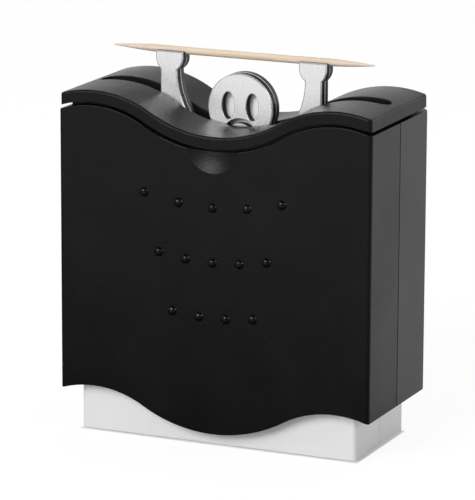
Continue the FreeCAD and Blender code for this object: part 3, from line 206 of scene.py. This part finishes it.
# %% Black plastic
CASE_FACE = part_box("case_back")[1][1]
POLISH_STARTS = 0.05 * MM
POLISH_FULL = 0.15 * MM
POLISHED = 0.06
TINT_BLOTS = 90.0
HANDLING_BLOTS = 45.0


def moulded_plastic(name, dark, light, gloss, grain, depth, ior=1.45, face=None):
    """Moulded plastic: a little uneven in colour and gloss, with a fine grain.

    What stands out in front of the face, that many metres from the middle, is polished."""
    finish = Finish(name, IOR=ior)
    roughness = finish.between(finish.speckle(HANDLING_BLOTS, detail=4.0), *gloss)
    if face:
        forward = finish.add("SeparateXYZ", {0: finish.place()}).outputs["Y"]
        proud = finish.ramp(forward, -face - POLISH_STARTS, -face - POLISH_FULL)
        roughness = finish.choose(proud, roughness, POLISHED)
    finish.set(finish.shader, {
        "Base Color": finish.blend(finish.speckle(TINT_BLOTS), dark, light),
        "Roughness": roughness,
    })
    finish.relief(finish.speckle(grain, detail=3.0), depth)
    return finish.material


case_plastic = moulded_plastic(
    "case_plastic", dark=(0.0020, 0.0020, 0.0020), light=(0.0032, 0.0032, 0.0031),
    gloss=(0.36, 0.43), grain=1900.0, depth=0.045 * MM, ior=1.26, face=CASE_FACE,
)
back_plastic = moulded_plastic(
    "back_plastic", dark=(0.0020, 0.0020, 0.0020), light=(0.0032, 0.0032, 0.0031),
    gloss=(0.28, 0.34), grain=2600.0, depth=0.03 * MM, ior=1.26,
)
lid_plastic = moulded_plastic(
    "lid_plastic", dark=(0.0036, 0.0036, 0.0036), light=(0.0052, 0.0052, 0.0051),
    gloss=(0.37, 0.46), grain=1500.0, depth=0.08 * MM, ior=1.22,
)
print("black plastics ready")

# %% [markdown]
# Inside are plainer plastics: a matt black hopper, dark grey for the bottom plate and the block that
# holds the figure, and milky acetal, which is smooth and slippery, for the bushes. The same function
# makes them, with other numbers, because they leave a mould too.

# %% Plastics inside
hopper_plastic = moulded_plastic(
    "hopper_plastic", dark=(0.0060, 0.0060, 0.0060), light=(0.0080, 0.0080, 0.0080),
    gloss=(0.50, 0.58), grain=1500.0, depth=0.02 * MM,
)
grey_plastic = moulded_plastic(
    "grey_plastic", dark=(0.085, 0.085, 0.090), light=(0.11, 0.11, 0.115),
    gloss=(0.50, 0.60), grain=1800.0, depth=0.02 * MM,
)
acetal = moulded_plastic(
    "acetal", dark=(0.70, 0.69, 0.66), light=(0.76, 0.75, 0.72),
    gloss=(0.30, 0.38), grain=900.0, depth=0.01 * MM,
)
print("inner plastics ready")

# %% [markdown]
# Base and figure are plastic too, sprayed with silver paint, a clear lacquer with aluminium flakes, which
# are fine noise in its colour here. With few flakes it is close to a grey paint, as on the base, and with
# many it is mostly a metal, as on the figure's front plate. The narrow flanks get a painted shade that
# stands in for their shadow: the normal's Y says which way a face looks, and scales the colour.
# The figure's back plate, at the bottom of the eyes, is duller, or the dark flanks would mirror in it.

# %% Silver paint
FLAKES = 5200.0
SPRAY_BLOTS = 260.0
ORANGE_PEEL = 700.0
PEEL_DEPTH = 0.007 * MM
FLANK_UP_TO = 0.25
FRONT_FROM = 0.65


def silver_paint(name, dark, light, metal, gloss, shaded_flank=1.0, edge=1.0):
    """Sprayed silver: flakes in the colour, a soft relief, and painted shade on faces turned sideways."""
    finish = Finish(name, **{"Metallic": metal, "Specular Tint": (edge, edge, edge, 1.0)})
    flakes = finish.blend(finish.speckle(FLAKES, detail=1.0), dark, light)
    facing = finish.add("SeparateXYZ", {0: finish.add("TexCoord").outputs["Normal"]})
    frontal = finish.reckon("ABSOLUTE", facing.outputs["Y"])
    # Painted shade: the colour is darkened on faces turned sideways, by how far the normal leaves Y.
    flank_shade = finish.ramp(frontal, FLANK_UP_TO, FRONT_FROM, shaded_flank, 1.0)
    shaded_flakes = finish.add("VectorMath", {0: flakes, "Scale": flank_shade}, operation="SCALE")
    finish.set(finish.shader, {
        "Base Color": shaded_flakes.outputs["Vector"],
        "Roughness": finish.between(finish.speckle(SPRAY_BLOTS, detail=5.0), *gloss),
    })
    finish.relief(finish.speckle(ORANGE_PEEL, detail=2.0), PEEL_DEPTH)
    return finish.material


base_silver = silver_paint(
    "base_silver", dark=(0.67, 0.67, 0.67), light=(0.74, 0.74, 0.74), metal=0.20, gloss=(0.42, 0.50),
)
# Both figure plates get a painted shade on their flanks, down to 0.05 of the front's colour.
figure_silver = silver_paint(
    "figure_silver", dark=(0.77, 0.77, 0.77), light=(0.85, 0.85, 0.85), metal=0.70, gloss=(0.24, 0.31),
    shaded_flank=0.05, edge=0.2,
)
back_silver = silver_paint(
    "back_silver", dark=(0.83, 0.83, 0.83), light=(0.92, 0.92, 0.92), metal=0.30, gloss=(0.38, 0.46),
    shaded_flank=0.05, edge=0.2,
)
print("silver paint ready")

# %% [markdown]
# Screws, posts and the weight are plain steel, and the guide tubes are drawn aluminium. Both were worked
# along one direction, which leaves long scratches. The same noise as before, squeezed along that
# direction, gives them.

# %% Bare metals
SCRATCHES = 1400.0
SCRATCH_DEPTH = 0.006 * MM


def worked_metal(name, dark, light, gloss, stretch):
    """Bare metal with scratches along one direction."""
    finish = Finish(name, Metallic=1.0)
    scratches = finish.speckle(SCRATCHES, detail=4.0, stretch=stretch)
    finish.set(finish.shader, {
        "Base Color": finish.blend(scratches, dark, light),
        "Roughness": finish.between(scratches, *gloss),
    })
    finish.relief(scratches, SCRATCH_DEPTH)
    return finish.material


steel = worked_metal(
    "steel", dark=(0.42, 0.43, 0.44), light=(0.56, 0.57, 0.58), gloss=(0.26, 0.40), stretch=(1.0, 1.0, 0.04),
)
rolled_steel = worked_metal(
    "rolled_steel", dark=(0.34, 0.34, 0.35), light=(0.46, 0.46, 0.47), gloss=(0.38, 0.52),
    stretch=(0.04, 1.0, 1.0),
)
tube_metal = worked_metal(
    "tube_metal", dark=(0.66, 0.67, 0.68), light=(0.78, 0.79, 0.80), gloss=(0.22, 0.34),
    stretch=(1.0, 1.0, 0.03),
)
print("metals ready")

# %% [markdown]
# The pads under the base and the rings under the tubes are rubber: dull, with a coarse grain from the
# sheet they were punched from.

# %% Rubber
rubber = moulded_plastic(
    "rubber", dark=(0.018, 0.018, 0.018), light=(0.030, 0.030, 0.030),
    gloss=(0.72, 0.85), grain=3200.0, depth=0.03 * MM, ior=1.3,
)
print("rubber ready")

# %% [markdown]
# Toothpicks are birch or bamboo, pale and dry. Their grain runs from point to point, so the noise is
# stretched a long way along the toothpick, once broadly for warmer and paler streaks, and once finely
# for fibres that also catch the light as a relief.

# %% Wood
STREAKS = 1500.0
FIBRES = 7000.0
FIBRE_DEPTH = 0.05 * MM
DARKEST_FIBRE = 0.86


def birch(name):
    """Pale dry wood with its grain along X."""
    finish = Finish(name, **{"Specular IOR Level": 0.3})
    streaks = finish.speckle(STREAKS, detail=3.0, stretch=(0.03, 1.0, 1.0))
    fibres = finish.speckle(FIBRES, detail=4.0, stretch=(0.02, 1.0, 1.0))
    pale = finish.blend(streaks, (0.57, 0.456, 0.342), (0.69, 0.589, 0.475))
    shade = finish.between(fibres, DARKEST_FIBRE, 1.0)
    tinted = finish.add("VectorMath", {0: pale, "Scale": shade}, operation="SCALE")
    finish.set(finish.shader, {
        "Base Color": tinted.outputs["Vector"],
        "Roughness": finish.between(streaks, 0.55, 0.72),
    })
    finish.relief(fibres, FIBRE_DEPTH)
    return finish.material


wood = birch("birch")
print("wood ready")

# %% [markdown]
# Now every piece of the frame gets its finish. A table of names is easier to check than a long list of
# calls, and a piece that the table forgets stops the script.

# %% Finish the frame's pieces
finishes = {
    case_plastic: ("case_front",),
    back_plastic: ("case_back",),
    lid_plastic: ("lid",),
    hopper_plastic: ("hopper",),
    base_silver: ("base_front", "base_back"),
    figure_silver: ("figure_front",),
    back_silver: ("figure_back",),
    grey_plastic: ("base_floor", "figure_mount"),
    acetal: ("guide_bush_left", "guide_bush_right"),
    rolled_steel: ("ballast_plate",),
    steel: (
        "floor_screws", "mount_screws", "stop_screws", "case_screws", "stop_washers", "figure_pins",
        "guide_post_left", "guide_post_right",
    ),
    tube_metal: ("guide_tube_left", "guide_tube_right"),
    rubber: ("feet", "buffers"),
    wood: ("toothpick", "toothpicks_front", "toothpicks_back"),
}
for material, names in finishes.items():
    for name in names:
        node = nodes[name]
        node.data.materials.clear()
        node.data.materials.append(material)
unfinished = set(nodes) - {name for names in finishes.values() for name in names}
assert not unfinished, unfinished
print("finished", len(nodes), "pieces")

# %% [markdown]
# The frame's toothpicks are a rod and two cones, all alike. A real one is sawn, tumbled and sharpened: its
# points bulge, its shaft is never quite round and it bows a little. A lathe modifier could turn one
# profile, but rings placed by a formula can also carry that unevenness, so each ring of points is worked
# out from its distance to the nearer end. The rings crowd together at the points, where the form changes.

# %% The point of a toothpick
TIP_RADIUS = 0.16 * MM
UNEVEN = 0.028 * MM
low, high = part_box("toothpick")
HALF_LENGTH = (high[0] - low[0]) / 2
FULL_RADIUS = (high[2] - low[2]) / 2 - UNEVEN


def sharpen(distance, length, bulge):
    """Radius at that distance from an end whose point has that length; a higher bulge is blunter."""
    share = min(distance / length, 1.0)
    return TIP_RADIUS + (FULL_RADIUS - TIP_RADIUS) * (1.0 - (1.0 - share) ** bulge)


print("half a toothpick is", round(HALF_LENGTH / MM, 2), "mm long")

# %% [markdown]
# Each ring is joined to the next with quads, and a flat cap closes either end, so that the toothpick is one
# closed skin. The quads are shaded smooth and the caps flat, which keeps the tips crisp. A seed makes every
# toothpick differ, and yet come out the same each time the script runs.

# %% Shape a toothpick
import bmesh

SIDES = 20
RINGS = 56
POINT_MM = (9.0, 11.0)
BULGE = (1.15, 1.70)
BUMPS = 180.0
LIFTED_SEED = 583
LIFTED_BOW = 0.05 * MM


def turn_toothpick(name, middle, seed, bow):
    """One toothpick along X, as a closed mesh that differs with its seed."""
    chance = random.Random(seed)
    ends = [(chance.uniform(*POINT_MM) * MM, chance.uniform(*BULGE)) for end in range(2)]
    lean, offset = chance.uniform(0.0, math.tau), chance.uniform(0.0, 100.0)
    shape = bmesh.new()
    rings = []
    for step in range(RINGS + 1):
        x = -HALF_LENGTH * math.cos(math.pi * step / RINGS)
        left, right = (sharpen(HALF_LENGTH + side * x, *end) for side, end in zip((1, -1), ends))
        sag = bow * (1.0 - (x / HALF_LENGTH) ** 2 * 3.0)
        ring = []
        for corner in range(SIDES):
            angle = math.tau * corner / SIDES
            across = Vector((0.0, math.cos(angle), math.sin(angle)))
            rough = noise.noise(Vector((x * BUMPS + offset, across.y, across.z)))
            radius = min(left, right) + UNEVEN * rough
            spot = Vector((x, sag * math.cos(lean), sag * math.sin(lean))) + across * radius
            ring.append(shape.verts.new(Vector(middle) + spot))
        rings.append(ring)
    for ring, following in zip(rings, rings[1:]):
        for corner in range(SIDES):
            beside = (corner + 1) % SIDES
            shape.faces.new((ring[corner], ring[beside], following[beside], following[corner]))
    shape.faces.new(rings[0])
    shape.faces.new(rings[-1])
    bmesh.ops.recalc_face_normals(shape, faces=shape.faces)
    for face in shape.faces:
        face.smooth = len(face.verts) == 4
    mesh = bpy.data.meshes.new(name)
    shape.to_mesh(mesh)
    shape.free()
    mesh.materials.append(wood)
    piece = bpy.data.objects.new(name, mesh)
    bpy.context.scene.collection.objects.link(piece)
    return piece


centre = [(a + b) / 2 for a, b in zip(low, high)]
lifted = turn_toothpick("lifted_toothpick", centre, LIFTED_SEED, LIFTED_BOW)
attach(lifted, "toothpick")
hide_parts("toothpick")
print("toothpick of", len(lifted.data.polygons), "faces")

# %% [markdown]
# The stock lies in two heaps, seven toothpicks on each ramp of the hopper. The frame knows where each one
# lies: a heap's mesh falls apart into patches, and the long patches are the shafts. Walking from point to
# point along the edges collects one patch after another.

# %% Find the stock's places
def patches(mesh):
    """The corners of each connected patch of a mesh."""
    beside = [[] for vertex in mesh.vertices]
    for edge in mesh.edges:
        first, second = edge.vertices
        beside[first].append(second)
        beside[second].append(first)
    waiting = set(range(len(mesh.vertices)))
    while waiting:
        reached, patch = [waiting.pop()], []
        while reached:
            index = reached.pop()
            patch.append(mesh.vertices[index].co)
            fresh = waiting.intersection(beside[index])
            waiting -= fresh
            reached.extend(fresh)
        yield patch


def middles(mesh):
    """The middle of each shaft in a heap's mesh, from the lowest up."""
    found = []
    for patch in patches(mesh):
        spans = [(min(places), max(places)) for places in zip(*patch)]
        if spans[0][1] - spans[0][0] > HALF_LENGTH:
            found.append([(start + end) / 2 for start, end in spans])
    return sorted(found, key=lambda middle: (round(middle[2], 5), round(middle[1], 5)))


heaps = {"toothpicks_" + word: middles(nodes["toothpicks_" + word].data) for word in ("front", "back")}
print("places found:", [len(places) for places in heaps.values()])

# %% [markdown]
# One toothpick is turned for each place, with a seed of its own. They lie close together in the hopper, so
# they bow less than the one on the hands.

# %% Fill the hopper
STOCK_SEED = 20
STOCK_BOW = 0.01 * MM
stock = []
for heap, places in heaps.items():
    for middle in places:
        number = len(stock) + 1
        pick = turn_toothpick("stock_toothpick_%d" % number, middle, STOCK_SEED + number, STOCK_BOW)
        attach(pick, "case")
        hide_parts(heap)
        stock.append(pick)
print("toothpicks in the hopper:", len(stock))

# %% [markdown]
# The floor is a large pale sheet, which isn't part of the object. It faces up,
# which matters later, when it has to look different from below.

# %% Lay the floor
FLOOR_SIZE = 4.0
half = FLOOR_SIZE / 2
floor_corners = [(-half, -half, 0), (half, -half, 0), (half, half, 0), (-half, half, 0)]
floor_mesh = bpy.data.meshes.new("floor")
floor_mesh.from_pydata(floor_corners, [], [(0, 1, 2, 3)])
floor = bpy.data.objects.new("floor", floor_mesh)
bpy.context.scene.collection.objects.link(floor)
print("floor of", FLOOR_SIZE, "m")

# %% [markdown]
# To the camera the floor has to look almost white, and yet keep the soft shadow that ties the object to it.
# More light would bleach the object, so a part of the floor's brightness, for the camera alone, is a glow
# that no shadow reaches. Within a millimetre of the base the glow fades, a painted contact shadow that lets
# the floor's real shadow show as the thin dark line where they touch. Where the base covers the floor, the
# glow lights the pads and the screws above it.

# %% Let the floor glow
PAINTED_SHADOW_WIDTH = 0.7 * MM
GLOW_SHARE = 0.88
paper = Finish("paper", **{
    "Base Color": (0.85, 0.85, 0.85, 1.0), "Roughness": 0.9, "Specular IOR Level": 0.0,
})
ray = paper.add("LightPath").outputs
spot = paper.add("SeparateXYZ", {0: paper.place()}).outputs
outside = []
for side, reach in zip("XY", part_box("base_back")[1]):
    outside.append(paper.reckon("SUBTRACT", paper.reckon("ABSOLUTE", spot[side]), reach))
away = paper.reckon("MAXIMUM", *outside)
# Painted contact shadow: the camera's glow fades to nothing within this width of the base.
to_camera = paper.reckon("MULTIPLY", ray["Is Camera Ray"], paper.ramp(away, 0.0, PAINTED_SHADOW_WIDTH, high=GLOW_SHARE))
to_pads = paper.reckon("MULTIPLY", paper.reckon("LESS_THAN", away, 0.0), ray["Is Diffuse Ray"])
glowing = paper.reckon("ADD", paper.reckon("ADD", to_camera, to_pads), ray["Is Glossy Ray"])
print("the glow fades within", PAINTED_SHADOW_WIDTH / MM, "mm of the base")

# %% [markdown]
# Reflections see another floor: dark close in front of the object, bright further off and behind it. That
# keeps the case's front black and its side grey. These shades lie still on the floor, wherever the camera
# goes. From below the sheet is clear as glass, so that the underside can be looked at.

# %% What reflections see of the floor
CAMERA_GLOW = 1.03
ahead = paper.ramp(spot["Y"], -0.25, -0.04, low=0.89, high=0.06)
beyond = paper.ramp(spot["X"], -0.12, 0.06, low=0.12, high=1.00)
mirrored = paper.choose(paper.ramp(spot["Y"], -0.02, 0.04), ahead, beyond)
strength = paper.choose(ray["Is Glossy Ray"], CAMERA_GLOW, mirrored)
glow = paper.add("Emission", {"Strength": strength}).outputs[0]
surface = paper.add("MixShader", {0: glowing, 1: paper.shader.outputs[0], 2: glow}).outputs[0]
underside = paper.add("NewGeometry").outputs["Backfacing"]
from_below = paper.reckon("MULTIPLY", underside, ray["Is Camera Ray"])
clear = paper.add("BsdfTransparent").outputs[0]
glassy = paper.add("MixShader", {0: from_below, 1: surface, 2: clear}).outputs[0]
paper.set(paper.tree.nodes["Material Output"], {"Surface": glassy})
floor_mesh.materials.append(paper.material)
print("floor finished with", len(paper.tree.nodes), "nodes")

# %% [markdown]
# The room is plain and soft, and white for the camera. Reflections see it brightest low behind the object,
# dim low in front of it and darkest overhead, as in a studio with a bright backdrop and a dark ceiling.
# The direction of a ray gives those gradients. Without them the polished dots would be grey all over.
# Diffuse light from the room stays low, so that the lamps can shape the object.

# %% Light the room
DIFFUSE_LEVEL = 0.45
CAMERA_LEVEL = 1.0
world = bpy.data.worlds.new("room")
bpy.context.scene.world = world
world.use_nodes = True
room = Network(world.node_tree)
direction = room.add("SeparateXYZ", {0: room.add("TexCoord").outputs["Generated"]}).outputs
behind = room.ramp(direction["Z"], 0.12, 0.45, low=2.10, high=0.50)
before = room.ramp(direction["Z"], 0.15, 0.45, low=0.20, high=1.05)
ceiling = room.ramp(direction["Z"], 0.55, 0.75, low=1.0, high=0.08)
walls = room.choose(room.ramp(direction["Y"], -0.3, 0.3), before, behind)
around = room.reckon("MULTIPLY", walls, ceiling)
sight = room.add("LightPath").outputs
unseen = room.choose(sight["Is Glossy Ray"], DIFFUSE_LEVEL, around)
level = room.choose(sight["Is Camera Ray"], unseen, CAMERA_LEVEL)
room.set(room.tree.nodes["Background"], {"Color": (1.0, 1.0, 1.0, 1.0), "Strength": level})
print("room lit with", len(room.tree.nodes), "nodes")

# %% [markdown]
# Three lamps do the rest: a wide one high in front and to the left, which lights the front evenly, a
# weaker one above and a little behind, for the top of the lid, and a small one at the right, for the
# base's side and a second, weaker spark on the dots. Large lamps close by give the soft edges of shadow
# that small ones can't.

# %% Hang the lamps
def softbox(name, place, size, watts):
    """A square lamp that looks at the middle of the object."""
    data = bpy.data.lights.new(name, "AREA")
    data.size = size
    data.energy = watts
    lamp = bpy.data.objects.new(name, data)
    lamp.location = place
    lamp.rotation_euler = (Vector(place) - AIM).to_track_quat("Z", "Y").to_euler()
    bpy.context.scene.collection.objects.link(lamp)
    print(name, watts, "W")


softbox("front_lamp", place=(-0.35, -1.05, 0.65), size=0.6, watts=13.0)
softbox("top_lamp", place=(0.0, 0.35, 1.1), size=0.7, watts=3.0)
softbox("right_lamp", place=(1.12, -0.18, 0.52), size=0.20, watts=2.2)

# %% Set the view transform
bpy.context.scene.view_settings.view_transform = "Standard"
